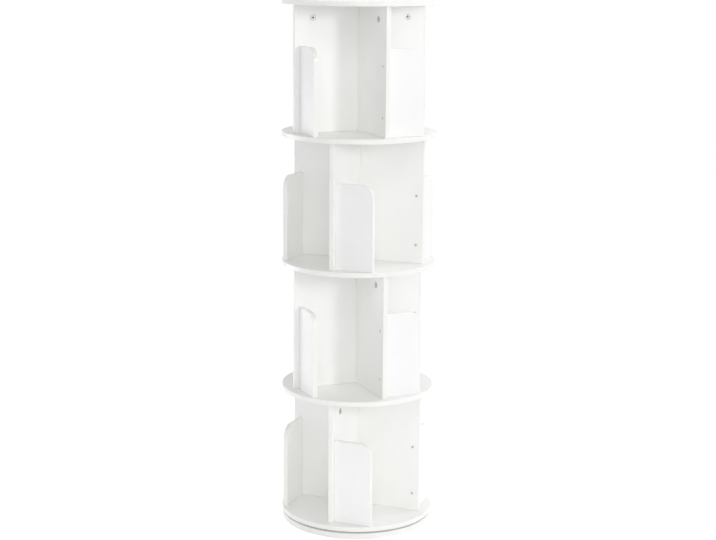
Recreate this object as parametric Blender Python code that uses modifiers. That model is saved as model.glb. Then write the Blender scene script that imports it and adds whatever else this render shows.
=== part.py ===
"""Revolving bookcase: round shelves and crossed panels in four tiers, turning on a ring bearing.

Lengths are in metres and +Z is up. The origin is on the turning axis, on the underside of the base board.
The base board, the lower bearing ring and the pivot bolt stand still. The ball cage turns on them at half
the speed of the tower, and everything from the upper bearing ring upwards turns as one piece.
"""

import math

import bmesh
import bpy
from mathutils import Matrix

# Round boards
SHELF_RADIUS = 0.200
SHELF_THICKNESS = 0.012
BASE_RADIUS = 0.198
BASE_THICKNESS = 0.015
TIER_CLEAR_HEIGHT = 0.324

# Upright panels, which cross on the axis and reach nearly to the rim
PANEL_THICKNESS = 0.012
PANEL_SETBACK = 0.019

# Stoppers, which stand across the panels' faces and keep the books in
STOPPER_THICKNESS = 0.012
STOPPER_HEIGHT = 0.220
STOPPER_SETBACK = 0.013
STOPPER_RIM_MARGIN = 0.0009
STOPPER_CORNER_RADIUS = 0.034

# Cam locks, let into the panels near their tops
CAM_DIAMETER = 0.015
CAM_DROP = 0.034
CAM_SETBACK = 0.050
CAM_BACK_WALL = 0.0025
CAM_CHAMFER = 0.0005
CAM_CROSS_LENGTH = 0.009
CAM_CROSS_WIDTH = 0.0022
CAM_CROSS_DEPTH = 0.003

# Ring bearing between the base board and the lowest shelf
BEARING_HEIGHT = 0.006
RACE_RADIUS = 0.120
RING_WIDTH = 0.030
RING_THICKNESS = 0.0015
GROOVE_DEPTH = 0.0007
CAGE_WIDTH = 0.008
CAGE_THICKNESS = 0.0008

# Pivot bolt, which centres the tower and keeps it from lifting off
PIVOT_DIAMETER = 0.008
PIVOT_CHAMFER = 0.0006
PIVOT_END_ABOVE_NUT = 0.0004
PIVOT_END_COVER = 0.0006
PIVOT_HEAD_DIAMETER = 0.016
PIVOT_HEAD_HEIGHT = 0.005
PIVOT_HEAD_RECESS = 0.001
WASHER_DIAMETER = 0.020
WASHER_THICKNESS = 0.0014
NUT_ACROSS_FLATS = 0.013
NUT_HEIGHT = 0.005

# Finish and clearances
EDGE_EASING = 0.0006
JOINT_GAP = 0.0003
CUT_OVERRUN = 0.001
MERGE_DISTANCE = 0.00001

# Counts and angles
BALL_COUNT = 20
RIM_SIDES = 72
RING_SIDES = 48
SMALL_SIDES = 20
GROOVE_ARC_STEPS = 4
CORNER_ARC_STEPS = 8
BALL_RINGS = 6
BALL_SEGMENTS = 8
HEX_SIDES = 6
FULL_TURN = math.radians(360)
QUARTER_TURN = math.radians(90)
HALF_QUARTER_TURN = math.radians(45)
SMOOTH_ANGLE = math.radians(35)

# The tiers from the bottom up. Each has the names of the four arms of its cross, the heading of the first,
# and the face of each arm that the cam lock is let into: 1 is the face that carries the stopper, -1 is the
# other one. The second and fourth arms are the ends of one wide panel, which has its two locks in one face.
# The first and third arms are half panels that stand against its middle.
SQUARE_NAMES = ("front", "right", "back", "left")
TURNED_NAMES = ("front_left", "front_right", "back_right", "back_left")
SQUARE_START = -QUARTER_TURN
TURNED_START = -QUARTER_TURN - HALF_QUARTER_TURN
TIERS = (
    (TURNED_NAMES, TURNED_START, (1, 1, 1, -1)),
    (SQUARE_NAMES, SQUARE_START, (-1, 1, 1, -1)),
    (TURNED_NAMES, TURNED_START, (-1, 1, 1, -1)),
    (SQUARE_NAMES, SQUARE_START, (-1, -1, -1, 1)),
)

# Places worked out from the sizes
PANEL_REACH = SHELF_RADIUS - PANEL_SETBACK
PANEL_FACE = PANEL_THICKNESS / 2
STOPPER_OUTER_FACE = PANEL_REACH - STOPPER_SETBACK
STOPPER_END = math.sqrt((SHELF_RADIUS - STOPPER_RIM_MARGIN) ** 2 - STOPPER_OUTER_FACE**2)
CAM_PLACE = PANEL_REACH - CAM_SETBACK
CAM_POCKET_DEPTH = PANEL_THICKNESS - CAM_BACK_WALL
BOTTOM_SHELF_UNDERSIDE = BASE_THICKNESS + BEARING_HEIGHT
TIER_PITCH = SHELF_THICKNESS + TIER_CLEAR_HEIGHT
PIVOT_HOLE_RADIUS = PIVOT_DIAMETER / 2 + JOINT_GAP
PIVOT_HEAD_TOP = PIVOT_HEAD_RECESS + PIVOT_HEAD_HEIGHT
PIVOT_TOP = BOTTOM_SHELF_UNDERSIDE + SHELF_THICKNESS - PIVOT_END_COVER
NUT_TOP = PIVOT_TOP - PIVOT_END_ABOVE_NUT
NUT_BOTTOM = NUT_TOP - NUT_HEIGHT
WASHER_TOP = NUT_BOTTOM - JOINT_GAP
WASHER_BOTTOM = WASHER_TOP - WASHER_THICKNESS
BEARING_MIDDLE = BASE_THICKNESS + BEARING_HEIGHT / 2
RUNNING_SPACE = BEARING_HEIGHT - 2 * (RING_THICKNESS + JOINT_GAP)
GROOVE_RADIUS = RUNNING_SPACE / 2 + GROOVE_DEPTH
BALL_RADIUS = GROOVE_RADIUS - JOINT_GAP


def clear_scene():
    for obj in list(bpy.data.objects):
        bpy.data.objects.remove(obj, do_unlink=True)


def new_collection(name):
    collection = bpy.data.collections.new(name)
    bpy.context.scene.collection.children.link(collection)
    return collection


def finish_material(name, colour, roughness, metallic):
    """A plain Principled finish, its colour in linear light."""
    material = bpy.data.materials.new(name)
    material.use_nodes = True
    shader = material.node_tree.nodes["Principled BSDF"]
    shader.inputs["Base Color"].default_value = (*colour, 1.0)
    shader.inputs["Roughness"].default_value = roughness
    shader.inputs["Metallic"].default_value = metallic
    material.diffuse_color = (*colour, 1.0)
    return material


def place(name, mesh, material, parent=None, height=0.0, heading=0.0):
    """An object of this mesh, turned about the axis by its heading and lifted to its height."""
    obj = bpy.data.objects.new(name, mesh)
    PARTS.objects.link(obj)
    if material.name not in [slot.name for slot in mesh.materials]:
        mesh.materials.append(material)
    obj.parent = parent
    obj.location = (0.0, 0.0, height)
    obj.rotation_euler = (0.0, 0.0, heading)
    return obj


def helper(name, mesh):
    """A cutter or a blank, which is kept out of the finished object."""
    obj = bpy.data.objects.new(name, mesh)
    CUTTERS.objects.link(obj)
    obj.hide_render = True
    obj.display_type = "WIRE"
    return obj


def settled(obj):
    """The mesh of a blank with its modifiers applied, shaded smooth over its shallow edges."""
    bpy.context.view_layer.update()
    graph = bpy.context.evaluated_depsgraph_get()
    mesh = bpy.data.meshes.new_from_object(obj.evaluated_get(graph))
    mesh.name = obj.name
    mesh.shade_smooth()
    mesh.set_sharp_from_angle(angle=SMOOTH_ANGLE)
    bpy.data.objects.remove(obj, do_unlink=True)
    return mesh


def block_mesh(name, low, high):
    """A box between two corners."""
    mesh = bpy.data.meshes.new(name)
    shape = bmesh.new()
    bmesh.ops.create_cube(shape, size=1.0)
    size = [b - a for a, b in zip(low, high)]
    middle = [(a + b) / 2 for a, b in zip(low, high)]
    fit = Matrix.Translation(middle) @ Matrix.Diagonal((*size, 1.0))
    bmesh.ops.transform(shape, matrix=fit, verts=shape.verts)
    shape.to_mesh(mesh)
    shape.free()
    return mesh


def drum_mesh(name, radius, low, high, sides):
    """An upright cylinder about the axis between two heights."""
    mesh = bpy.data.meshes.new(name)
    shape = bmesh.new()
    bmesh.ops.create_cone(
        shape, cap_ends=True, segments=sides, radius1=radius, radius2=radius, depth=high - low
    )
    bmesh.ops.translate(shape, vec=(0.0, 0.0, (low + high) / 2), verts=shape.verts)
    shape.to_mesh(mesh)
    shape.free()
    return mesh


def turned_mesh(name, outline, sides):
    """A turned piece: the outline, given down its outer side, goes once round the axis.

    An outline that starts and ends on the axis makes a solid piece, and any other is closed into a ring.
    """
    mesh = bpy.data.meshes.new(name)
    points = [(radius, 0.0, height) for radius, height in outline]
    edges = [(i, i + 1) for i in range(len(points) - 1)]
    if outline[0][0] > 0.0:
        edges.append((len(points) - 1, 0))
    mesh.from_pydata(points, edges, [])
    blank = helper(name, mesh)
    screw = blank.modifiers.new("Turn", "SCREW")
    screw.axis = "Z"
    screw.angle = FULL_TURN
    screw.steps = sides
    screw.render_steps = sides
    screw.use_merge_vertices = True
    screw.merge_threshold = MERGE_DISTANCE
    return settled(blank)


def eased(obj):
    """A small bevel along a board's arrises, as its edge banding has."""
    bevel = obj.modifiers.new("Eased edges", "BEVEL")
    bevel.width = EDGE_EASING
    bevel.segments = 1
    bevel.limit_method = "ANGLE"
    bevel.angle_limit = SMOOTH_ANGLE


def cut(obj, cutter, operation="DIFFERENCE"):
    boolean = obj.modifiers.new(cutter.name, "BOOLEAN")
    boolean.operation = operation
    boolean.solver = "EXACT"
    boolean.object = cutter


def rim(radius, low, high):
    """The outer side of a round board, from its top face to its underside, with eased edges."""
    return [
        (radius - EDGE_EASING, high),
        (radius, high - EDGE_EASING),
        (radius, low + EDGE_EASING),
        (radius - EDGE_EASING, low),
    ]


def shelf_mesh():
    """A plain round shelf, resting on its own zero height."""
    outline = [(0.0, SHELF_THICKNESS), *rim(SHELF_RADIUS, 0.0, SHELF_THICKNESS), (0.0, 0.0)]
    return turned_mesh("Round shelf", outline, RIM_SIDES)


def bottom_shelf_mesh():
    """The lowest shelf, bored for the pivot bolt and recessed from above for its washer and nut."""
    seat = WASHER_BOTTOM - JOINT_GAP - BOTTOM_SHELF_UNDERSIDE
    recess = WASHER_DIAMETER / 2 + JOINT_GAP
    outline = [
        (recess, SHELF_THICKNESS),
        *rim(SHELF_RADIUS, 0.0, SHELF_THICKNESS),
        (PIVOT_HOLE_RADIUS, 0.0),
        (PIVOT_HOLE_RADIUS, seat),
        (recess, seat),
    ]
    return turned_mesh("Bottom shelf", outline, RIM_SIDES)


def base_mesh():
    """The base board, bored for the pivot bolt and recessed from below for its head."""
    recess = PIVOT_HEAD_DIAMETER / 2 + JOINT_GAP
    seat = PIVOT_HEAD_TOP + JOINT_GAP
    outline = [
        (PIVOT_HOLE_RADIUS, BASE_THICKNESS),
        *rim(BASE_RADIUS, 0.0, BASE_THICKNESS),
        (recess, 0.0),
        (recess, seat),
        (PIVOT_HOLE_RADIUS, seat),
    ]
    return turned_mesh("Base board", outline, RIM_SIDES)


def panel_mesh(name, start, cams):
    """An upright panel along X, from its start to its reach, with a pocket for each of these cam locks."""
    low = (start, -PANEL_FACE, JOINT_GAP)
    high = (PANEL_REACH, PANEL_FACE, TIER_CLEAR_HEIGHT - JOINT_GAP)
    blank = helper(name, block_mesh(name, low, high))
    eased(blank)
    cutters = []
    for matrix in cams:
        radius = CAM_DIAMETER / 2 + JOINT_GAP
        pocket = drum_mesh("Pocket", radius, -CAM_POCKET_DEPTH, CUT_OVERRUN, SMALL_SIDES)
        pocket.transform(matrix)
        cutters.append(helper("Cam pocket cutter", pocket))
        cut(blank, cutters[-1])
    mesh = settled(blank)
    for cutter in cutters:
        bpy.data.objects.remove(cutter, do_unlink=True)
    return mesh


def half_panel_mesh(face):
    """One arm of the cross, along +X. Its inner end stands against the wide panel's face."""
    return panel_mesh("Half panel", PANEL_FACE + JOINT_GAP, [cam_matrix(face)])


def wide_panel_mesh(face):
    """Two arms of the cross in one board, with both cam locks in the same face of it."""
    far_end = Matrix.Rotation(FULL_TURN / 2, 4, "Z")
    return panel_mesh("Wide panel", -PANEL_REACH, [cam_matrix(face), far_end @ cam_matrix(-face)])


def cam_matrix(face):
    """Carries a cam lock, made upright with its face at zero height, to its place in the arm along +X."""
    turn = Matrix.Rotation(-face * QUARTER_TURN, 4, "X")
    return Matrix.Translation((CAM_PLACE, face * PANEL_FACE, TIER_CLEAR_HEIGHT - CAM_DROP)) @ turn


def cam_mesh(face):
    """A cam lock: a chamfered drum with a cross recess, its face just inside the panel's."""
    radius = CAM_DIAMETER / 2
    low = JOINT_GAP - CAM_POCKET_DEPTH
    high = -JOINT_GAP
    outline = [
        (0.0, high),
        (radius - CAM_CHAMFER, high),
        (radius, high - CAM_CHAMFER),
        (radius, low),
        (0.0, low),
    ]
    blank = helper(f"Cam lock {face}", turned_mesh("Cam", outline, SMALL_SIDES))
    cutters = []
    for across, along in ((CAM_CROSS_WIDTH, CAM_CROSS_LENGTH), (CAM_CROSS_LENGTH, CAM_CROSS_WIDTH)):
        bar_low = (-across / 2, -along / 2, high - CAM_CROSS_DEPTH)
        bar_high = (across / 2, along / 2, high + CUT_OVERRUN)
        cutters.append(helper("Cross recess cutter", block_mesh("Cross bar", bar_low, bar_high)))
        cut(blank, cutters[-1])
    mesh = settled(blank)
    for cutter in cutters:
        bpy.data.objects.remove(cutter, do_unlink=True)
    mesh.transform(cam_matrix(face))
    return mesh


def stopper_mesh():
    """A stopper across its panel's face, with its upper outer corner rounded to a large radius."""
    low = (STOPPER_OUTER_FACE - STOPPER_THICKNESS, PANEL_FACE + JOINT_GAP, JOINT_GAP)
    high = (STOPPER_OUTER_FACE, STOPPER_END, STOPPER_HEIGHT)
    mesh = block_mesh("Stopper", low, high)
    shape = bmesh.new()
    shape.from_mesh(mesh)
    corner = [
        edge
        for edge in shape.edges
        if all(v.co.y > low[1] + JOINT_GAP and v.co.z > low[2] + JOINT_GAP for v in edge.verts)
    ]
    bmesh.ops.bevel(
        shape,
        geom=corner,
        offset=STOPPER_CORNER_RADIUS,
        segments=CORNER_ARC_STEPS,
        profile=0.5,
        affect="EDGES",
    )
    shape.to_mesh(mesh)
    shape.free()
    blank = helper("Stopper", mesh)
    eased(blank)
    return settled(blank)


def groove(side):
    """The arc of a ring's ball groove, outwards, about the balls' own circle.

    The side is 1 for the upper ring.
    """
    half_width = math.acos(RUNNING_SPACE / 2 / GROOVE_RADIUS)
    angles = [half_width * (2 * i / GROOVE_ARC_STEPS - 1) for i in range(GROOVE_ARC_STEPS + 1)]
    return [
        (
            RACE_RADIUS + GROOVE_RADIUS * math.sin(angle),
            BEARING_MIDDLE + side * GROOVE_RADIUS * math.cos(angle),
        )
        for angle in angles
    ]


def bearing_ring_mesh(name, side):
    """A flat steel ring with a ball groove in the face that looks to the other ring."""
    inner = RACE_RADIUS - RING_WIDTH / 2
    outer = RACE_RADIUS + RING_WIDTH / 2
    face = BEARING_MIDDLE + side * RUNNING_SPACE / 2
    back = face + side * RING_THICKNESS
    arc = groove(side)
    if side > 0:
        outline = [(inner, back), (outer, back), (outer, face), *reversed(arc), (inner, face)]
    else:
        outline = [(inner, face), *arc, (outer, face), (outer, back), (inner, back)]
    return turned_mesh(name, outline, RING_SIDES)


def ball_cage_mesh():
    """The balls in their cage: a thin flat ring with the balls held in it at even spacing."""
    inner = RACE_RADIUS - CAGE_WIDTH / 2
    outer = RACE_RADIUS + CAGE_WIDTH / 2
    low = BEARING_MIDDLE - CAGE_THICKNESS / 2
    high = BEARING_MIDDLE + CAGE_THICKNESS / 2
    outline = [(inner, high), (outer, high), (outer, low), (inner, low)]
    blank = helper("Ball cage", turned_mesh("Cage", outline, RING_SIDES))
    balls = bpy.data.meshes.new("Balls")
    shape = bmesh.new()
    for i in range(BALL_COUNT):
        turn = Matrix.Rotation(FULL_TURN * i / BALL_COUNT, 4, "Z")
        carry = turn @ Matrix.Translation((RACE_RADIUS, 0.0, BEARING_MIDDLE))
        bmesh.ops.create_uvsphere(
            shape, u_segments=BALL_SEGMENTS, v_segments=BALL_RINGS, radius=BALL_RADIUS, matrix=carry
        )
    shape.to_mesh(balls)
    shape.free()
    joined = helper("Balls joined to the cage", balls)
    cut(blank, joined, "UNION")
    mesh = settled(blank)
    bpy.data.objects.remove(joined, do_unlink=True)
    return mesh


def pivot_bolt_mesh():
    """The pivot bolt, its head sunk in the base board and its end just above the nut."""
    radius = PIVOT_DIAMETER / 2
    head = PIVOT_HEAD_DIAMETER / 2
    outline = [
        (0.0, PIVOT_TOP),
        (radius - PIVOT_CHAMFER, PIVOT_TOP),
        (radius, PIVOT_TOP - PIVOT_CHAMFER),
        (radius, PIVOT_HEAD_TOP),
        (head, PIVOT_HEAD_TOP),
        (head, PIVOT_HEAD_RECESS + PIVOT_CHAMFER),
        (head - PIVOT_CHAMFER, PIVOT_HEAD_RECESS),
        (0.0, PIVOT_HEAD_RECESS),
    ]
    return turned_mesh("Pivot bolt", outline, SMALL_SIDES)


def washer_mesh():
    outer = WASHER_DIAMETER / 2
    outline = [
        (PIVOT_HOLE_RADIUS, WASHER_TOP),
        (outer, WASHER_TOP),
        (outer, WASHER_BOTTOM),
        (PIVOT_HOLE_RADIUS, WASHER_BOTTOM),
    ]
    return turned_mesh("Washer", outline, SMALL_SIDES)


def nut_mesh():
    """A hexagonal nut, bored to slip over the bolt."""
    corner_radius = NUT_ACROSS_FLATS / 2 / math.cos(FULL_TURN / HEX_SIDES / 2)
    blank = helper("Nut", drum_mesh("Nut", corner_radius, NUT_BOTTOM, NUT_TOP, HEX_SIDES))
    low = NUT_BOTTOM - CUT_OVERRUN
    high = NUT_TOP + CUT_OVERRUN
    bore = helper("Nut bore cutter", drum_mesh("Bore", PIVOT_HOLE_RADIUS, low, high, SMALL_SIDES))
    cut(blank, bore)
    mesh = settled(blank)
    bpy.data.objects.remove(bore, do_unlink=True)
    return mesh


def build_turntable():
    """The pieces that stand still, and the ball cage between the two rings."""
    place("base_board", base_mesh(), WHITE_MELAMINE)
    place("bearing_lower_ring", bearing_ring_mesh("Lower ring", -1), GALVANISED_STEEL)
    place("pivot_bolt", pivot_bolt_mesh(), GALVANISED_STEEL)
    place("pivot_washer", washer_mesh(), GALVANISED_STEEL)
    place("pivot_nut", nut_mesh(), GALVANISED_STEEL)
    place("bearing_ball_cage", ball_cage_mesh(), GALVANISED_STEEL)


def build_shelves(tower):
    """The round boards, from the bored one on the bearing to the plain one on top."""
    place("shelf_1", bottom_shelf_mesh(), WHITE_MELAMINE, tower, BOTTOM_SHELF_UNDERSIDE)
    plain = shelf_mesh()
    for number in range(1, len(TIERS)):
        height = BOTTOM_SHELF_UNDERSIDE + number * TIER_PITCH
        place(f"shelf_{number + 1}", plain, WHITE_MELAMINE, tower, height)
    top = BOTTOM_SHELF_UNDERSIDE + len(TIERS) * TIER_PITCH
    place("top_board", plain, WHITE_MELAMINE, tower, top)


def build_tiers(tower):
    """A cross of panels to each tier, and a stopper and a cam lock to each arm."""
    half_panels = {face: half_panel_mesh(face) for face in (1, -1)}
    wide_panels = {face: wide_panel_mesh(face) for face in (1, -1)}
    cams = {face: cam_mesh(face) for face in (1, -1)}
    stopper = stopper_mesh()
    for number, (names, start, faces) in enumerate(TIERS):
        floor = BOTTOM_SHELF_UNDERSIDE + SHELF_THICKNESS + number * TIER_PITCH
        tier = f"tier{number + 1}"
        wide = wide_panels[faces[1]]
        place(f"{tier}_panel_wide", wide, WHITE_MELAMINE, tower, floor, start + QUARTER_TURN)
        for i, (name, face) in enumerate(zip(names, faces)):
            heading = start + i * QUARTER_TURN
            if i % 2 == 0:
                place(f"{tier}_panel_{name}", half_panels[face], WHITE_MELAMINE, tower, floor, heading)
            place(f"{tier}_stopper_{name}", stopper, WHITE_MELAMINE, tower, floor, heading)
            place(f"{tier}_cam_{name}", cams[face], CAST_ZINC, tower, floor, heading)


clear_scene()
PARTS = new_collection("Revolving bookcase")
CUTTERS = new_collection("Cutters and blanks")
CUTTERS.hide_render = True

WHITE_MELAMINE = finish_material("White melamine", (0.86, 0.86, 0.85), 0.42, 0.0)
GALVANISED_STEEL = finish_material("Galvanised steel", (0.55, 0.56, 0.57), 0.38, 1.0)
CAST_ZINC = finish_material("Cast zinc", (0.50, 0.50, 0.51), 0.45, 1.0)

TOWER = bpy.data.objects.new("tower_axis", None)
PARTS.objects.link(TOWER)
build_turntable()
place("bearing_upper_ring", bearing_ring_mesh("Upper ring", 1), GALVANISED_STEEL, TOWER)
build_shelves(TOWER)
build_tiers(TOWER)
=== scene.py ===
"""Looks of the revolving bookcase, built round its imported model.

Every board is a white melamine-faced chipboard core with thin plastic banding glued along the edges that
show. The cam locks and the stopper screws are let into holes in the boards. Lengths are in metres and +Z
is up. The tower turns about the vertical line through the origin.
"""

import math

import bmesh
import bpy
import numpy as np
from mathutils import Matrix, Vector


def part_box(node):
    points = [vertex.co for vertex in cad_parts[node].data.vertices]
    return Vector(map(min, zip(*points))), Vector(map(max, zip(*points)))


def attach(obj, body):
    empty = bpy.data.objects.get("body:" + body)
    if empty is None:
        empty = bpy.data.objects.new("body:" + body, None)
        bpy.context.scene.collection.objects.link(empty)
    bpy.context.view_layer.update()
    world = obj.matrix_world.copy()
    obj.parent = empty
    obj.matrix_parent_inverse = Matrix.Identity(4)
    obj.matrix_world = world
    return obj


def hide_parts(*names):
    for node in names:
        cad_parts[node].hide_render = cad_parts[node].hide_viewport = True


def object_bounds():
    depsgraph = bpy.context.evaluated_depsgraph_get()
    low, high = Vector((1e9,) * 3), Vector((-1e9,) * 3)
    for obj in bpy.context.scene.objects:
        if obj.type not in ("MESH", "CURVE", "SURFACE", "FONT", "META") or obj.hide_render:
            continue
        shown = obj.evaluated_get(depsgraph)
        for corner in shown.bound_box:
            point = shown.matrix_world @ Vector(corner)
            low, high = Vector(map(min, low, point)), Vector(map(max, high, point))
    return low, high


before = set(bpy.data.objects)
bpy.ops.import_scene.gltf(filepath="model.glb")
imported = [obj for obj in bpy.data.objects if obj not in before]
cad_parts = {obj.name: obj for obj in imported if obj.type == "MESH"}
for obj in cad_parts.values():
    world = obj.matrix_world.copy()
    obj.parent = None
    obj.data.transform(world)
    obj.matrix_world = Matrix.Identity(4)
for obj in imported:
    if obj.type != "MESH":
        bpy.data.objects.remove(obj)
CAD_LOW, CAD_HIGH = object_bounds()

QUARTER = math.pi / 2
FULL_TURN = 2 * math.pi

# Boards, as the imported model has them. The wide panel of the second tier lies along X and its right-hand
# pieces along +X. Its back panel lies along +Y.
FLOOR_OF_TIER_2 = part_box("shelf_2")[1].z
BASE_LOW, BASE_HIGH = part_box("base_board")
PANEL_LOW, PANEL_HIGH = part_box("tier2_panel_wide")
HALF_PANEL_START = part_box("tier2_panel_back")[0].y
STOPPER_LOW, STOPPER_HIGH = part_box("tier2_stopper_right")
CAM_LOW, CAM_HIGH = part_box("tier2_cam_right")
WASHER_LOW, WASHER_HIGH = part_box("pivot_washer")
BOLT_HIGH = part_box("pivot_bolt")[1]
PANEL_FOOT = PANEL_LOW.z - FLOOR_OF_TIER_2
PANEL_TOP = PANEL_HIGH.z - FLOOR_OF_TIER_2
STOPPER_TOP = STOPPER_HIGH.z - FLOOR_OF_TIER_2
STOPPER_CORNER = 0.034

# The turn that carries the right-hand arm of a wide panel to the panel's far end
FAR_END = Matrix.Rotation(2 * QUARTER, 4, "Z")

# The plastic banding, the hairline seam between it and the board, and the gap where a strip's two ends
# meet on a rim. The butts of the boards are turned by a step from one to the next.
BAND = 0.0008
BAND_ROUNDING = 0.0006
BAND_SEAM = 0.00006
BAND_BUTT = 0.00015
BUTT_STEP = QUARTER / 5

# The fine arris along a board's cut edges, and how far from a rounding the flat of a strip begins
ARRIS = 0.00025
SUPPORT = 0.0004

# Cam locks and their pockets
CAM_RADIUS = (CAM_HIGH.x - CAM_LOW.x) / 2
CAM_PLACE = (CAM_HIGH.x + CAM_LOW.x) / 2
CAM_HEIGHT = (CAM_HIGH.z + CAM_LOW.z) / 2 - FLOOR_OF_TIER_2
CAM_DEPTH = CAM_HIGH.y - CAM_LOW.y
CAM_SINK = 0.0003
CAM_RIM = 0.0010
CAM_DISH = 0.0004
CAM_CROSS_LENGTH = 0.0074
CAM_CROSS_WIDTH = 0.0020
CAM_CROSS_DEPTH = 0.0045
CAM_ARROW_PLACE = 0.0056
CAM_ARROW_SIZE = 0.0013
CAM_ARROW_SLOPE = 0.6
CAM_ARROW_DEPTH = 0.0003
POCKET_CLEARANCE = 0.00025
POCKET_CHAMFER = 0.0002

# Stopper screws, which go through the panel into the edge of the stopper
SCREW_HEIGHTS = (0.048, 0.176)
SCREW_HEAD_RADIUS = 0.0034
SCREW_SHANK_RADIUS = 0.0019
SCREW_LENGTH = 0.040
SCREW_HEAD_DEPTH = 0.0030
SCREW_SINK = 0.00025
SCREW_EDGE = 0.00035
SCREW_CROSS_LENGTH = 0.0036
SCREW_CROSS_WIDTH = 0.0009
SCREW_CROSS_DEPTH = 0.0018
SCREW_MARK_LENGTH = 0.7 * SCREW_CROSS_LENGTH
SCREW_MARK_WIDTH = 0.4 * SCREW_CROSS_WIDTH
SCREW_MARK_DEPTH = 0.1 * SCREW_CROSS_DEPTH
SCREW_SPIN = 0.7
HOLE_CLEARANCE = 0.00025

# Pivot, where it passes through the two lowest boards
PIVOT_BORE = 0.0043
PIVOT_CLEARANCE = 0.0003
BOLT_HEAD_TOP = 0.006

# Fineness of the surfaces. Faces of the flat area and more are shaded dead flat.
DISC_STEPS = 360
ARC_STEPS = 4
CORNER_STEPS = 24
HOLE_STEPS = 64
CAM_RINGS = 34
CAM_SPOKES = 144
SCREW_RINGS = 20
SCREW_SPOKES = 72
SMOOTH_ANGLE = math.radians(32)
FLAT_AREA = 0.0001
MERGE_DISTANCE = 0.000001

# Tiers from the lowest up: the names and first heading of the arms of the cross, and the face that holds
# each cam lock, which is 1 where the stopper stands on it. The second and fourth arms are one wide panel.
SQUARE = ("front", "right", "back", "left")
TURNED = ("front_left", "front_right", "back_right", "back_left")
TIERS = (
    (TURNED, -1.5 * QUARTER, (1, 1, 1, -1)),
    (SQUARE, -QUARTER, (-1, 1, 1, -1)),
    (TURNED, -1.5 * QUARTER, (-1, 1, 1, -1)),
    (SQUARE, -QUARTER, (-1, -1, -1, 1)),
)

# Camera, which looks from the left of the front panel of the top tier
IMAGE_WIDTH = 716
SENSOR_WIDTH = 36.0
FOCAL_PIXELS = 1592.7
CAMERA_DISTANCE = 4.1075
CAMERA_SIDE = -0.0003
CAMERA_HEIGHT = 1.5077
CAMERA_TILT = 0.20051
CAMERA_ROLL = 0.00801
CAMERA_HEADING = math.radians(-23.031)

# The light is a little cool, which turns the boards' warm white neutral where it falls on them.
DAYLIGHT = "#FDFBFF"
WHITE = (1.0, 1.0, 1.0, 1.0)

# Softboxes: name, heading from the camera's side towards its right in degrees, distance from the axis,
# height of its middle, width, height of the box itself, and power in watts
SOFTBOXES = (
    ("Key", 41.7, 5.5, 2.20, 0.80, 0.95, 54.5),
    ("Front fill", 3.0, 4.8, 1.40, 2.0, 2.4, 22.4),
    ("Left edge", -110.0, 2.4, 0.50, 1.6, 0.9, 14.5),
    ("High right", 108.0, 2.2, 2.80, 1.6, 1.2, 28.0),
    ("Top front", 5.0, 3.0, 3.40, 1.8, 1.2, 13.6),
    ("Overhead", 0.0, 0.0, 2.40, 0.5, 0.5, 2.3),
)

# Surround, as strengths where 1 is white: its walls, its ceiling, and the sines of the elevations between
# which the walls darken into the ceiling
WALL = 0.765
CEILING = 0.0
WALL_TOP = 0.55
CEILING_EDGE = 1.0

# Floor: the paper that lights the boards, the darker paper and the glow that the camera sees in its place,
# and the ring of light on it round the bookcase
FLOOR_REACH = 30.0
FLOOR_PAPER = "#EDEDED"
SEEN_PAPER = "#BCBCBC"
SEEN_GLOW = 0.78
RING_LIGHT = 0.475
RING_LIGHT_RADIUS = 0.55
RING_LIGHT_STEEPNESS = 2.0

# White boards pass light on many times before it is lost, so the corners need more bounces than usual.
BOUNCES = 12


def linear(code):
    """The linear colour of an sRGB hex code, with an alpha of 1."""
    shares = [int(code[i : i + 2], 16) / 255 for i in (1, 3, 5)]
    return (*(s / 12.92 if s <= 0.04045 else ((s + 0.055) / 1.055) ** 2.4 for s in shares), 1.0)


def add(tree, kind, values=None, links=None, **settings):
    """Adds a node with these properties, input values and input links."""
    node = tree.nodes.new(kind)
    for key, value in settings.items():
        setattr(node, key, value)
    for key, value in (values or {}).items():
        node.inputs[key].default_value = value
    for key, socket in (links or {}).items():
        tree.links.new(socket, node.inputs[key])
    return node


def finish(name, **values):
    """A new material and its node tree, with these constants set on its Principled shader."""
    material = bpy.data.materials.new(name)
    material.use_nodes = True
    tree = material.node_tree
    shader = tree.nodes["Principled BSDF"]
    for key, value in values.items():
        shader.inputs[key].default_value = value
    return material, tree


def wire(tree, **sockets):
    """Links these sockets to the Principled shader, each to the input of its name."""
    shader = tree.nodes["Principled BSDF"]
    for key, socket in sockets.items():
        tree.links.new(socket, shader.inputs[key.replace("_", " ")])


def own_place(tree):
    """The point's place in its own piece, in metres."""
    return add(tree, "ShaderNodeTexCoord").outputs["Object"]


def noise(tree, place, size, detail, roughness=0.5):
    """A cloudy grey whose largest features are about this size, with this many finer layers."""
    settings = {"Scale": 1 / size, "Detail": detail, "Roughness": roughness}
    return add(tree, "ShaderNodeTexNoise", settings, {"Vector": place}).outputs["Fac"]


def tint(tree, grey, dark, light, low=0.0, high=1.0):
    """A colour that runs from one hex code, where the grey is low or less, to another where it is high."""
    ramp = add(tree, "ShaderNodeValToRGB", links={"Fac": grey})
    for element, position, code in zip(ramp.color_ramp.elements, (low, high), (dark, light)):
        element.position = position
        element.color = linear(code)
    return ramp.outputs["Color"]


def spread(tree, grey, least, most, low=0.0, high=1.0):
    """A number that runs from the least, where the grey is low or less, to the most where it is high."""
    ends = {"From Min": low, "From Max": high, "To Min": least, "To Max": most}
    return add(tree, "ShaderNodeMapRange", ends, {"Value": grey}).outputs["Result"]


def bump(tree, height, strength, depth, over=None):
    """A normal bent by this height, over another bent normal if there is one."""
    links = {"Height": height} if over is None else {"Height": height, "Normal": over}
    settings = {"Strength": strength, "Distance": depth}
    return add(tree, "ShaderNodeBump", settings, links).outputs["Normal"]


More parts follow.
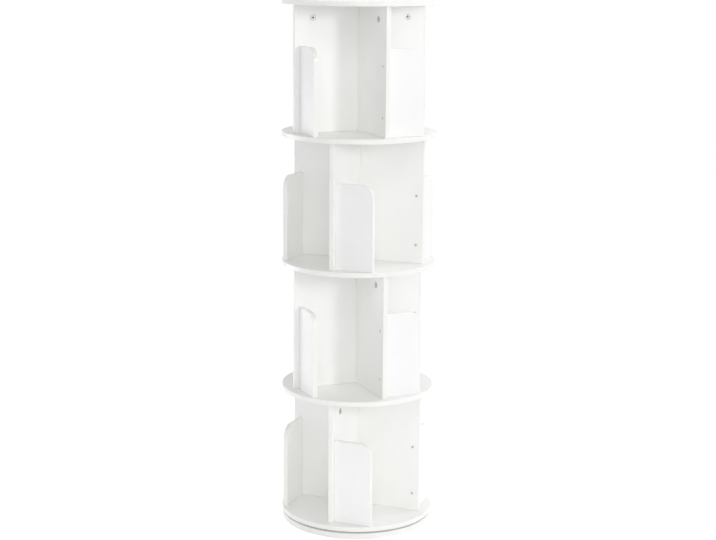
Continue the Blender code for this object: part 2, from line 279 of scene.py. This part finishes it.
def melamine_face():
    """White melamine paper, pressed on a fine pearl plate.

    It looks hard and satin. Its dimples, 1.4 mm apart, only soften the reflections, the board's own slight
    waves bend them over a hand's breadth, and the print under the resin is uneven by less than a hundredth.
    """
    material, tree = finish("White melamine board", IOR=1.5)
    place = own_place(tree)
    print_cloud = noise(tree, place, size=0.055, detail=3.0)
    handling = noise(tree, place, size=0.090, detail=4.0, roughness=0.6)
    pearl = noise(tree, place, size=0.0014, detail=1.0)
    wave = noise(tree, place, size=0.080, detail=1.0)
    dimples = bump(tree, pearl, strength=0.10, depth=0.00004)
    wire(
        tree,
        Base_Color=tint(tree, print_cloud, "#F5F6F3", "#F7F8F5", low=0.32, high=0.70),
        Roughness=spread(tree, handling, least=0.32, most=0.40, low=0.3, high=0.7),
        Normal=bump(tree, wave, strength=0.25, depth=0.0003, over=dimples),
    )
    return material


def plastic_banding():
    """White ABS edge banding, extruded and scraped flush.

    It is a touch creamier and glossier than the board, with faint lines along its length from the die, each
    about 0.8 mm wide and 120 mm long.
    """
    line_length, line_width = 0.120, 0.0008
    material, tree = finish("White ABS edge banding", IOR=1.53)
    place = add(tree, "ShaderNodeUVMap", uv_map="Along the strip").outputs["UV"]
    scale = {"Scale": (1 / line_length, 1 / line_width, 1.0)}
    stretched = add(tree, "ShaderNodeMapping", scale, {"Vector": place}).outputs["Vector"]
    lines = noise(tree, stretched, size=1.0, detail=2.0)
    wire(
        tree,
        Base_Color=tint(tree, lines, "#F3F4EE", "#F6F7F1", low=0.30, high=0.70),
        Roughness=spread(tree, lines, least=0.30, most=0.38, low=0.3, high=0.7),
        Normal=bump(tree, lines, strength=0.15, depth=0.00005),
    )
    return material


def chipboard():
    """The bare core of the board, sawn or drilled: pressed spruce chips in several tans, rough and dull."""
    chip_size = 0.0022
    material, tree = finish("Bare chipboard", IOR=1.45, Roughness=0.9)
    settings = {"Scale": 1 / chip_size, "Randomness": 1.0}
    chips = add(tree, "ShaderNodeTexVoronoi", settings, {"Vector": own_place(tree)})
    wire(
        tree,
        Base_Color=tint(tree, chips.outputs["Color"], "#A38B6C", "#DCCBAE"),
        Normal=bump(tree, chips.outputs["Distance"], strength=0.6, depth=0.0002),
    )
    return material


def die_cast_zinc():
    """Die-cast zinc as it leaves the mould and the tumbler: dull grey, faintly mottled and pitted."""
    material, tree = finish("Die-cast zinc", Metallic=1.0)
    place = own_place(tree)
    mottle = noise(tree, place, size=0.0016, detail=4.0)
    pits = noise(tree, place, size=0.0004, detail=2.0)
    wire(
        tree,
        Base_Color=tint(tree, mottle, "#BDBDBA", "#D9D9D6", low=0.3, high=0.7),
        Roughness=spread(tree, mottle, least=0.36, most=0.58),
        Normal=bump(tree, pits, strength=0.3, depth=0.00004),
    )
    return material


def plated_steel():
    """Bright zinc plating on pressed steel: pale, faintly cloudy, with soft reflections."""
    material, tree = finish("Zinc-plated steel", Metallic=1.0)
    cloud = noise(tree, own_place(tree), size=0.004, detail=3.0)
    wire(
        tree,
        Base_Color=tint(tree, cloud, "#C9CACA", "#E2E3E2", low=0.3, high=0.7),
        Roughness=spread(tree, cloud, least=0.22, most=0.38),
    )
    return material


def arc(middle_a, middle_b, radius, start, end, steps):
    """Points of a circle's arc between two angles, as two columns."""
    angles = np.linspace(start, end, steps + 1)
    return np.column_stack((middle_a + radius * np.cos(angles), middle_b + radius * np.sin(angles)))


def grid_quads(rows, columns):
    """The quads between neighbouring points of a grid, as rows of four point numbers."""
    number = np.arange(rows * columns).reshape(rows, columns)
    corners = (number[:-1, :-1], number[1:, :-1], number[1:, 1:], number[:-1, 1:])
    return np.stack([c.ravel() for c in corners], axis=1).tolist()


def capped_quads(rows, columns):
    """The quads of a grid whose last column is its first again, and a polygon over each of its open ends."""
    last = (rows - 1) * columns
    ends = [list(range(columns - 1)), list(range(last, last + columns - 1))]
    return grid_quads(rows, columns) + ends


def surface(name, points, faces, materials, uv=None):
    """A mesh of these points and faces, with doubled points merged so that its seams and poles are closed."""
    mesh = bpy.data.meshes.new(name)
    mesh.from_pydata(points.reshape(-1, 3).tolist(), [], faces)
    for material in materials:
        mesh.materials.append(material)
    if uv is not None:
        corners = np.empty(len(mesh.loops), np.int32)
        mesh.loops.foreach_get("vertex_index", corners)
        layer = mesh.uv_layers.new(name="Along the strip")
        layer.data.foreach_set("uv", uv.reshape(-1, 2)[corners].astype(np.float32).ravel())
    shape = bmesh.new()
    shape.from_mesh(mesh)
    bmesh.ops.remove_doubles(shape, verts=shape.verts, dist=MERGE_DISTANCE)
    bmesh.ops.recalc_face_normals(shape, faces=shape.faces)
    shape.to_mesh(mesh)
    shape.free()
    shade(mesh)
    return mesh


def shade(mesh):
    """Smooth over shallow edges, with the broad faces of the boards kept dead flat."""
    mesh.shade_smooth()
    mesh.set_sharp_from_angle(angle=SMOOTH_ANGLE)
    areas = np.empty(len(mesh.polygons), np.float32)
    mesh.polygons.foreach_get("area", areas)
    mesh.polygons.foreach_set("use_smooth", areas < FLAT_AREA)


def carried_round(angles, outline):
    """A grid with each (radius, height) point of an outline at each of these angles round the axis."""
    radius, height = np.asarray(outline).T
    level = np.broadcast_to(height, (len(angles), len(height)))
    return np.stack((np.outer(np.cos(angles), radius), np.outer(np.sin(angles), radius), level), axis=2)


def turned(name, outline, steps, materials):
    """An outline of (radius, height) points, down the outer side, carried once round the upright axis."""
    points = carried_round(np.linspace(0.0, FULL_TURN, steps + 1), outline)
    return surface(name, points, grid_quads(*points.shape[:2]), materials)


def swept(name, path, outwards, across, profile, materials):
    """A closed profile of (outwards, across) points carried along a path, with flat ends.

    Each point is the path's own plus the profile's two measures along the path's two directions there.
    """
    loop = np.vstack((profile, profile[:1]))
    points = path[:, None] + loop[None, :, :1] * outwards[:, None] + loop[None, :, 1:] * across[:, None]
    along = np.concatenate(([0.0], np.cumsum(np.linalg.norm(np.diff(path, axis=0), axis=1))))
    around = np.concatenate(([0.0], np.cumsum(np.linalg.norm(np.diff(loop, axis=0), axis=1))))
    uv = np.stack(np.meshgrid(along, around, indexing="ij"), axis=2)
    return surface(name, points, capped_quads(*points.shape[:2]), materials, uv)


def band_profile(width):
    """The section of a banding strip: its back against the board's edge, its two outer arrises rounded."""
    side = width / 2 - BAND_ROUNDING
    out = BAND - BAND_ROUNDING
    upper = arc(out, side, BAND_ROUNDING, QUARTER, 0.0, ARC_STEPS)
    lower = arc(out, -side, BAND_ROUNDING, 0.0, -QUARTER, ARC_STEPS)
    face = np.array([(BAND, side - SUPPORT), (BAND, SUPPORT - side)])
    back = np.array([(0.0, -width / 2), (0.0, width / 2)])
    return np.vstack((upper, face, lower, back))


def slab(name, outline, outwards, thickness, place, materials):
    """A board cut to a convex outline, with a fine arris along both faces.

    The outline is carried across the thickness in four steps, and its first and last are drawn in by the
    arris. The place function turns two columns in the board's plane and one across it into points.
    """
    insets = (ARRIS, 0.0, 0.0, ARRIS)
    levels = (0.0, ARRIS, thickness - ARRIS, thickness)
    loop = np.vstack((outline, outline[:1]))
    normal = np.vstack((outwards, outwards[:1]))
    points = np.stack([place(loop - normal * inset, level) for inset, level in zip(insets, levels)])
    return surface(name, points, capped_quads(*points.shape[:2]), materials)


def rounded_outline(low, high, radii):
    """A rectangle with arcs of these radii for corners, from the low one anticlockwise, and its normals."""
    (a0, b0), (a1, b1) = low, high
    middles = [
        (a0 + radii[0], b0 + radii[0]),
        (a1 - radii[1], b0 + radii[1]),
        (a1 - radii[2], b1 - radii[2]),
        (a0 + radii[3], b1 - radii[3]),
    ]
    points, normals = [], []
    for i, ((a, b), radius) in enumerate(zip(middles, radii)):
        start = (i + 2) * QUARTER
        count = CORNER_STEPS if radius > ARRIS else ARC_STEPS
        points.append(arc(a, b, radius, start, start + QUARTER, count))
        normals.append(arc(0.0, 0.0, 1.0, start, start + QUARTER, count))
    return np.vstack(points), np.vstack(normals)


def upright(along_x):
    """Places a board that stands on its edge: its plane is X and Z if it lies along X, or else Y and Z."""

    def place(plane, level):
        across = np.full(len(plane), level)
        if along_x:
            return np.column_stack((plane[:, 0], across + PANEL_LOW.y, plane[:, 1]))
        return np.column_stack((across + STOPPER_LOW.x, plane[:, 0], plane[:, 1]))

    return place


def drilled(mesh, cutters):
    """The mesh with these holes cut in it. The cutters' faces keep their own material number."""
    blank = bpy.data.objects.new(mesh.name, mesh)
    bpy.context.scene.collection.objects.link(blank)
    tools = []
    for cutter in cutters:
        tool = bpy.data.objects.new(cutter.name, cutter)
        bpy.context.scene.collection.objects.link(tool)
        cut = blank.modifiers.new("Hole", "BOOLEAN")
        cut.operation = "DIFFERENCE"
        cut.solver = "EXACT"
        cut.object = tool
        tools.append(tool)
    bpy.context.view_layer.update()
    made = bpy.data.meshes.new_from_object(blank.evaluated_get(bpy.context.evaluated_depsgraph_get()))
    for obj in (blank, *tools):
        bpy.data.objects.remove(obj)
    shade(made)
    return made


def cam_matrix(face):
    """Carries a cam lock, made upright with its face at zero height, to its place in the arm along +X."""
    side = PANEL_HIGH.y if face > 0 else PANEL_LOW.y
    return Matrix.Translation((CAM_PLACE, side, CAM_HEIGHT)) @ Matrix.Rotation(-face * QUARTER, 4, "X")


def screw_matrix(height):
    """Carries a screw, made upright with its face at zero height, to the panel's face behind the stopper."""
    middle = (STOPPER_LOW.x + STOPPER_HIGH.x) / 2
    return Matrix.Translation((middle, PANEL_LOW.y, height)) @ Matrix.Rotation(QUARTER, 4, "X")


def hole(name, outline, matrix):
    """A turned cutter whose walls are bare chipboard."""
    mesh = turned(name, outline, HOLE_STEPS, (MELAMINE, CHIPBOARD))
    mesh.polygons.foreach_set("material_index", np.ones(len(mesh.polygons), np.int32))
    mesh.transform(matrix)
    return mesh


def panel_board(start, arms):
    """The core of a panel along X, with a cam lock's pocket and two countersunk screw holes in each arm.

    An arm is the matrix that carries it round from +X, and the face that its cam lock is let into.
    """
    low = (start, PANEL_FOOT)
    high = (PANEL_HIGH.x - BAND - BAND_SEAM, PANEL_TOP)
    outline, outwards = rounded_outline(low, high, (ARRIS,) * 4)
    thickness = PANEL_HIGH.y - PANEL_LOW.y
    core = slab("Panel core", outline, outwards, thickness, upright(True), (MELAMINE, CHIPBOARD))
    radius = CAM_RADIUS + POCKET_CLEARANCE
    depth = CAM_DEPTH + CAM_SINK + POCKET_CLEARANCE
    pocket = [
        (0.0, ARRIS),
        (radius + POCKET_CHAMFER + ARRIS, ARRIS),
        (radius, -POCKET_CHAMFER),
        (radius, -depth),
        (0.0, -depth),
    ]
    bore = SCREW_SHANK_RADIUS + HOLE_CLEARANCE
    sink = SCREW_HEAD_RADIUS + HOLE_CLEARANCE
    countersink = [
        (0.0, ARRIS),
        (sink, ARRIS),
        (sink, -SCREW_SINK - SCREW_EDGE),
        (bore, -SCREW_SINK - SCREW_HEAD_DEPTH),
        (bore, -thickness - ARRIS),
        (0.0, -thickness - ARRIS),
    ]
    cutters = []
    for turn, face in arms:
        cutters.append(hole("Cam pocket", pocket, turn @ cam_matrix(face)))
        cutters += [hole(f"Screw hole {h}", countersink, turn @ screw_matrix(h)) for h in SCREW_HEIGHTS]
    return drilled(core, cutters)


def half_panel(face):
    """The core of the arm along +X, whose inner end stands against the wide panel."""
    return panel_board(HALF_PANEL_START, [(Matrix.Identity(4), face)])


def wide_panel(face):
    """The core of two arms in one board, with both cam locks in the same face of it."""
    start = PANEL_LOW.x + BAND + BAND_SEAM
    return panel_board(start, [(Matrix.Identity(4), face), (FAR_END, -face)])


def panel_banding():
    """The strip on an arm's outer end, from its foot to its top."""
    middle = (PANEL_LOW.y + PANEL_HIGH.y) / 2
    path = np.array([(PANEL_HIGH.x - BAND, middle, z) for z in (PANEL_FOOT, PANEL_TOP)])
    outwards = np.tile((1.0, 0.0, 0.0), (2, 1))
    across = np.tile((0.0, 1.0, 0.0), (2, 1))
    profile = band_profile(PANEL_HIGH.y - PANEL_LOW.y)
    return swept("Panel banding", path, outwards, across, profile, (BANDING,))


def stopper_board():
    """The core of a stopper, with its large round corner at the top of its free end."""
    foot = STOPPER_LOW.z - FLOOR_OF_TIER_2
    low = (STOPPER_LOW.y, foot)
    high = (STOPPER_HIGH.y - BAND - BAND_SEAM, STOPPER_TOP - BAND - BAND_SEAM)
    radii = (ARRIS, ARRIS, STOPPER_CORNER - BAND - BAND_SEAM, ARRIS)
    outline, outwards = rounded_outline(low, high, radii)
    thickness = STOPPER_HIGH.x - STOPPER_LOW.x
    return slab("Stopper core", outline, outwards, thickness, upright(False), (MELAMINE,))


def stopper_banding():
    """The strip up a stopper's free end, round its corner and along its top to the panel."""
    radius = STOPPER_CORNER - BAND
    corner = (STOPPER_HIGH.y - STOPPER_CORNER, STOPPER_TOP - STOPPER_CORNER)
    bend = arc(*corner, radius, 0.0, QUARTER, CORNER_STEPS)
    way = arc(0.0, 0.0, 1.0, 0.0, QUARTER, CORNER_STEPS)
    foot = (STOPPER_HIGH.y - BAND, STOPPER_LOW.z - FLOOR_OF_TIER_2)
    root = (STOPPER_LOW.y, STOPPER_TOP - BAND)
    plane = np.vstack((foot, bend, root))
    normal = np.vstack((way[:1], way, way[-1:]))
    middle = np.full((len(plane), 1), (STOPPER_LOW.x + STOPPER_HIGH.x) / 2)
    path = np.hstack((middle, plane))
    outwards = np.hstack((np.zeros((len(plane), 1)), normal))
    across = np.tile((1.0, 0.0, 0.0), (len(plane), 1))
    profile = band_profile(STOPPER_HIGH.x - STOPPER_LOW.x)
    return swept("Stopper banding", path, outwards, across, profile, (BANDING,))


def round_board(radius, low, high, bores):
    """The core of a round board. Its bores are (radius, height) points of the middle hole, downwards."""
    edge = radius - BAND - BAND_SEAM
    rim = [(edge - ARRIS, high), (edge, high - ARRIS), (edge, low + ARRIS), (edge - ARRIS, low)]
    outline = [(0.0, high), *rim, (0.0, low)] if not bores else [bores[0], *rim, *reversed(bores)]
    return turned("Round board", outline, DISC_STEPS, (MELAMINE,))


def rim_banding(radius, low, high, butt):
    """The strip round a board's rim. Its two ends meet at the butt heading with a hairline between them."""
    half_gap = BAND_BUTT / 2 / radius
    angles = np.linspace(butt + half_gap, butt + FULL_TURN - half_gap, DISC_STEPS + 1)
    outwards = np.column_stack((np.cos(angles), np.sin(angles), np.zeros(len(angles))))
    path = outwards * (radius - BAND)
    path[:, 2] = (low + high) / 2
    across = np.tile((0.0, 0.0, 1.0), (len(angles), 1))
    return swept("Rim banding", path, outwards, across, band_profile(high - low), (BANDING,))


def cross_depth(x, y, length, width, depth):
    """How deep a cross recess is at each point: full on its arms' middle lines, with rounded walls.

    The depth goes with the square root of the way in from the nearest edge, over half the arm's width.
    """
    a, b = np.abs(x), np.abs(y)
    outside = np.minimum(
        np.maximum(a - length / 2, b - width / 2),
        np.maximum(a - width / 2, b - length / 2),
    )
    return depth * np.sqrt(np.clip(-outside / (width / 2), 0.0, 1.0))


def relief(name, radius, rings, spokes, height, side, materials):
    """A round face whose height is a function of place, over a turned side that closes it below.

    The face is a grid of rings and spokes. The side is an outline of (radius, height) points, from the
    face's edge down to the axis.
    """
    angles = np.linspace(0.0, FULL_TURN, spokes + 1)
    reach = np.linspace(0.0, radius, rings + 1)
    x = np.outer(np.cos(angles), reach)
    y = np.outer(np.sin(angles), reach)
    face = np.stack((x, y, height(x, y)), axis=2)
    points = np.concatenate((face, carried_round(angles, side)), axis=1)
    return surface(name, points, grid_quads(*points.shape[:2]), materials)


def cam_lock():
    """A cam lock, its face up: a raised rim, a shallow dish, a deep cross recess and a small arrow."""

    def height(x, y):
        r = np.hypot(x, y)
        dish = CAM_DISH * np.clip((CAM_RADIUS - CAM_RIM - r) / ARRIS, 0.0, 1.0)
        cross = cross_depth(x, y, CAM_CROSS_LENGTH, CAM_CROSS_WIDTH, CAM_CROSS_DEPTH)
        from_tip = CAM_ARROW_PLACE + CAM_ARROW_SIZE - y
        inside = np.minimum(from_tip * CAM_ARROW_SLOPE - np.abs(x), y - CAM_ARROW_PLACE)
        arrow = CAM_ARROW_DEPTH * np.clip(inside / ARRIS, 0.0, 1.0)
        edge = ARRIS * np.clip((r - CAM_RADIUS + ARRIS) / ARRIS, 0.0, 1.0)
        return -CAM_SINK - dish - cross - arrow - edge

    side = [
        (CAM_RADIUS, -CAM_SINK - 2 * ARRIS),
        (CAM_RADIUS, -CAM_DEPTH),
        (0.0, -CAM_DEPTH),
    ]
    return relief("Cam lock", CAM_RADIUS, CAM_RINGS, CAM_SPOKES, height, side, (ZINC,))


def stopper_screw():
    """A countersunk chipboard screw, its head up: a cross recess with four marks, a cone and a shank."""

    def height(x, y):
        r = np.hypot(x, y)
        cross = cross_depth(x, y, SCREW_CROSS_LENGTH, SCREW_CROSS_WIDTH, SCREW_CROSS_DEPTH)
        between_x, between_y = (x + y) * math.sqrt(0.5), (x - y) * math.sqrt(0.5)
        marks = cross_depth(between_x, between_y, SCREW_MARK_LENGTH, SCREW_MARK_WIDTH, SCREW_MARK_DEPTH)
        edge = SCREW_EDGE / 2 * np.clip((r - SCREW_HEAD_RADIUS + SCREW_EDGE) / SCREW_EDGE, 0.0, 1.0) ** 2
        return -SCREW_SINK - np.maximum(cross, marks) - edge

    side = [
        (SCREW_HEAD_RADIUS, -SCREW_SINK - SCREW_EDGE),
        (SCREW_SHANK_RADIUS, -SCREW_SINK - SCREW_HEAD_DEPTH),
        (SCREW_SHANK_RADIUS, -SCREW_LENGTH + 2 * SCREW_SHANK_RADIUS),
        (0.0, -SCREW_LENGTH),
    ]
    return relief("Stopper screw", SCREW_HEAD_RADIUS, SCREW_RINGS, SCREW_SPOKES, height, side, (STEEL,))


def piece(name, mesh, matrix, body, node=None):
    """A piece of its own mesh, its place in the mesh, riding on a body and standing for its CAD node."""
    own = mesh.copy()
    own.name = name
    own.transform(matrix)
    obj = bpy.data.objects.new(name, own)
    bpy.context.scene.collection.objects.link(obj)
    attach(obj, body)
    if node:
        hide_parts(node)


def build_round_boards():
    """The base board, the four shelves and the top, each a core with a strip round it."""
    here = Matrix.Identity(4)
    recess = BOLT_HIGH.x + PIVOT_CLEARANCE
    seat = BOLT_HEAD_TOP + PIVOT_CLEARANCE
    base_bores = [
        (PIVOT_BORE, BASE_HIGH.z),
        (PIVOT_BORE, seat),
        (recess, seat),
        (recess, BASE_LOW.z),
    ]
    nut_recess = WASHER_HIGH.x + PIVOT_CLEARANCE
    nut_seat = WASHER_LOW.z - PIVOT_CLEARANCE
    shelf_low, shelf_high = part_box("shelf_1")
    shelf_bores = [
        (nut_recess, shelf_high.z),
        (nut_recess, nut_seat),
        (PIVOT_BORE, nut_seat),
        (PIVOT_BORE, shelf_low.z),
    ]
    boards = [("base_board", "base", base_bores), ("shelf_1", "tower", shelf_bores)]
    boards += [(name, "tower", []) for name in ("shelf_2", "shelf_3", "shelf_4", "top_board")]
    for number, (name, body, bores) in enumerate(boards):
        low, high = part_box(name)
        butt = QUARTER + number * BUTT_STEP
        core = round_board(high.x, low.z, high.z, bores)
        strip = rim_banding(high.x, low.z, high.z, butt)
        piece(f"{name}_core", core, here, body, name)
        piece(f"{name}_banding", strip, here, body)


def build_tiers():
    """The panels and stoppers of each tier with their banding, cam locks and screws."""
    half_panels = {face: half_panel(face) for face in (1, -1)}
    wide_panels = {face: wide_panel(face) for face in (1, -1)}
    panel_strip = panel_banding()
    stopper = stopper_board()
    stopper_strip = stopper_banding()
    lock = cam_lock()
    screw = stopper_screw()
    for number, (names, start, faces) in enumerate(TIERS, 1):
        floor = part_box(f"shelf_{number}")[1].z
        lift = Matrix.Translation((0.0, 0.0, floor))
        across = lift @ Matrix.Rotation(start + QUARTER, 4, "Z")
        wide = f"tier{number}_panel_wide"
        piece(f"{wide}_core", wide_panels[faces[1]], across, "tower", wide)
        for i, (name, face) in enumerate(zip(names, faces)):
            place = lift @ Matrix.Rotation(start + i * QUARTER, 4, "Z")
            panel = f"tier{number}_panel_{name}"
            stop = f"tier{number}_stopper_{name}"
            cam = f"tier{number}_cam_{name}"
            if i % 2 == 0:
                piece(f"{panel}_core", half_panels[face], place, "tower", panel)
            piece(f"{panel}_banding", panel_strip, place, "tower")
            piece(f"{stop}_core", stopper, place, "tower", stop)
            piece(f"{stop}_banding", stopper_strip, place, "tower")
            piece(f"{cam}_lock", lock, place @ cam_matrix(face), "tower", cam)
            for where, height in zip(("lower", "upper"), SCREW_HEIGHTS):
                spun = place @ screw_matrix(height) @ Matrix.Rotation(SCREW_SPIN * (i + number), 4, "Z")
                piece(f"tier{number}_screw_{name}_{where}", screw, spun, "tower")


def dress_turntable():
    """The bearing and the pivot keep their solids, and take the plated finish."""
    bearing = ("bearing_lower_ring", "bearing_upper_ring", "bearing_ball_cage")
    for name in (*bearing, "pivot_bolt", "pivot_washer", "pivot_nut"):
        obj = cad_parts[name]
        if not obj.material_slots:
            obj.data.materials.append(STEEL)
        for holder in obj.material_slots:
            holder.material = STEEL


def camera():
    """The photographer's camera: level with the bookcase's top, looking down a little."""
    data = bpy.data.cameras.new("Camera")
    data.sensor_width = SENSOR_WIDTH
    data.lens = FOCAL_PIXELS * SENSOR_WIDTH / IMAGE_WIDTH
    obj = bpy.data.objects.new("Camera", data)
    bpy.context.scene.collection.objects.link(obj)
    turn = Matrix.Rotation(CAMERA_HEADING, 4, "Z")
    stand = Matrix.Translation((CAMERA_SIDE, -CAMERA_DISTANCE, CAMERA_HEIGHT))
    look = Matrix.Rotation(QUARTER - CAMERA_TILT, 4, "X") @ Matrix.Rotation(CAMERA_ROLL, 4, "Z")
    obj.matrix_world = turn @ stand @ look
    bpy.context.scene.camera = obj


def softbox(name, heading, distance, height, width, tall, power):
    """A rectangular lamp that faces the middle of the bookcase."""
    data = bpy.data.lights.new(name, "AREA")
    data.shape = "RECTANGLE"
    data.size = width
    data.size_y = tall
    data.energy = power
    data.color = linear(DAYLIGHT)[:3]
    obj = bpy.data.objects.new(name, data)
    bpy.context.scene.collection.objects.link(obj)
    turn = Matrix.Rotation(CAMERA_HEADING + math.radians(heading), 4, "Z")
    drop = math.atan2(height - CAD_HIGH.z / 2, distance)
    aim = Matrix.Rotation(QUARTER - drop, 4, "X")
    obj.matrix_world = turn @ Matrix.Translation((0.0, -distance, height)) @ aim


def seen_directly(tree):
    """A factor of 1 for rays straight from the camera, a mirror or glass, and of 0 for all others."""
    path = add(tree, "ShaderNodeLightPath")
    rays = [path.outputs[name] for name in ("Is Camera Ray", "Is Glossy Ray", "Is Transmission Ray")]
    pair = add(tree, "ShaderNodeMath", links={0: rays[0], 1: rays[1]}, operation="MAXIMUM")
    all_three = add(tree, "ShaderNodeMath", links={0: pair.outputs[0], 1: rays[2]}, operation="MAXIMUM")
    return all_three.outputs[0]


def surround():
    """White walls that light the bookcase from all round, under a dark ceiling, seen as plain white."""
    world = bpy.data.worlds.new("Studio")
    bpy.context.scene.world = world
    world.use_nodes = True
    tree = world.node_tree
    tree.nodes.clear()
    way = add(tree, "ShaderNodeTexCoord").outputs["Generated"]
    rise = add(tree, "ShaderNodeSeparateXYZ", links={"Vector": way}).outputs["Z"]
    walls = add(
        tree,
        "ShaderNodeMapRange",
        {"From Min": WALL_TOP, "From Max": CEILING_EDGE, "To Min": WALL, "To Max": CEILING},
        {"Value": rise},
        interpolation_type="SMOOTHSTEP",
    )
    felt = add(
        tree, "ShaderNodeBackground", {"Color": linear(DAYLIGHT)}, {"Strength": walls.outputs["Result"]}
    )
    white = add(tree, "ShaderNodeBackground", {"Color": WHITE, "Strength": 1.0})
    choice = add(
        tree,
        "ShaderNodeMixShader",
        links={"Fac": seen_directly(tree), 1: felt.outputs[0], 2: white.outputs[0]},
    )
    add(tree, "ShaderNodeOutputWorld", links={"Surface": choice.outputs[0]})


def floor():
    """A white floor, seen as white but for the bookcase's soft shadow, with a ring of light round the middle.

    With r as the distance over the ring's radius, the light's strength is r^2 exp(1 - r^2), to the power
    of its steepness. That is 1 on the ring and next to nothing under the bookcase's middle.
    """
    material = bpy.data.materials.new("Studio floor")
    material.use_nodes = True
    tree = material.node_tree
    tree.nodes.clear()
    place = add(tree, "ShaderNodeTexCoord").outputs["Object"]
    shrunk = {"Scale": 1 / RING_LIGHT_RADIUS}
    away = add(tree, "ShaderNodeVectorMath", shrunk, {0: place}, operation="SCALE").outputs[0]
    square = add(tree, "ShaderNodeVectorMath", links={0: away, 1: away}, operation="DOT_PRODUCT")
    far = square.outputs["Value"]
    steepness = {1: RING_LIGHT_STEEPNESS}
    rise = add(tree, "ShaderNodeMath", steepness, {0: far}, operation="POWER").outputs[0]
    loss = {0: math.exp(-RING_LIGHT_STEEPNESS)}
    fall = add(tree, "ShaderNodeMath", loss, {1: far}, operation="POWER").outputs[0]
    ring = add(tree, "ShaderNodeMath", links={0: rise, 1: fall}, operation="MULTIPLY").outputs[0]
    peak = {1: RING_LIGHT * math.exp(RING_LIGHT_STEEPNESS)}
    glow = add(tree, "ShaderNodeMath", peak, {0: ring}, operation="MULTIPLY").outputs[0]
    pool = add(tree, "ShaderNodeEmission", {"Color": WHITE}, {"Strength": glow})
    paper = add(tree, "ShaderNodeBsdfDiffuse", {"Color": linear(FLOOR_PAPER)})
    felt = add(tree, "ShaderNodeAddShader", links={0: paper.outputs[0], 1: pool.outputs[0]})
    darker = add(tree, "ShaderNodeBsdfDiffuse", {"Color": linear(SEEN_PAPER)})
    white = add(tree, "ShaderNodeEmission", {"Color": WHITE, "Strength": SEEN_GLOW})
    shown = add(tree, "ShaderNodeAddShader", links={0: darker.outputs[0], 1: white.outputs[0]})
    choice = add(
        tree,
        "ShaderNodeMixShader",
        links={"Fac": seen_directly(tree), 1: felt.outputs[0], 2: shown.outputs[0]},
    )
    add(tree, "ShaderNodeOutputMaterial", links={"Surface": choice.outputs[0]})
    mesh = bpy.data.meshes.new("Studio floor")
    corners = [(x * FLOOR_REACH, y * FLOOR_REACH, 0.0) for x, y in ((-1, -1), (1, -1), (1, 1), (-1, 1))]
    mesh.from_pydata(corners, [], [(0, 1, 2, 3)])
    mesh.materials.append(material)
    obj = bpy.data.objects.new("Studio floor", mesh)
    bpy.context.scene.collection.objects.link(obj)


MELAMINE = melamine_face()
BANDING = plastic_banding()
CHIPBOARD = chipboard()
ZINC = die_cast_zinc()
STEEL = plated_steel()

camera()
build_round_boards()
build_tiers()
dress_turntable()
for values in SOFTBOXES:
    softbox(*values)
surround()
floor()
bpy.context.scene.cycles.diffuse_bounces = BOUNCES
bpy.context.scene.view_settings.view_transform = "Standard"
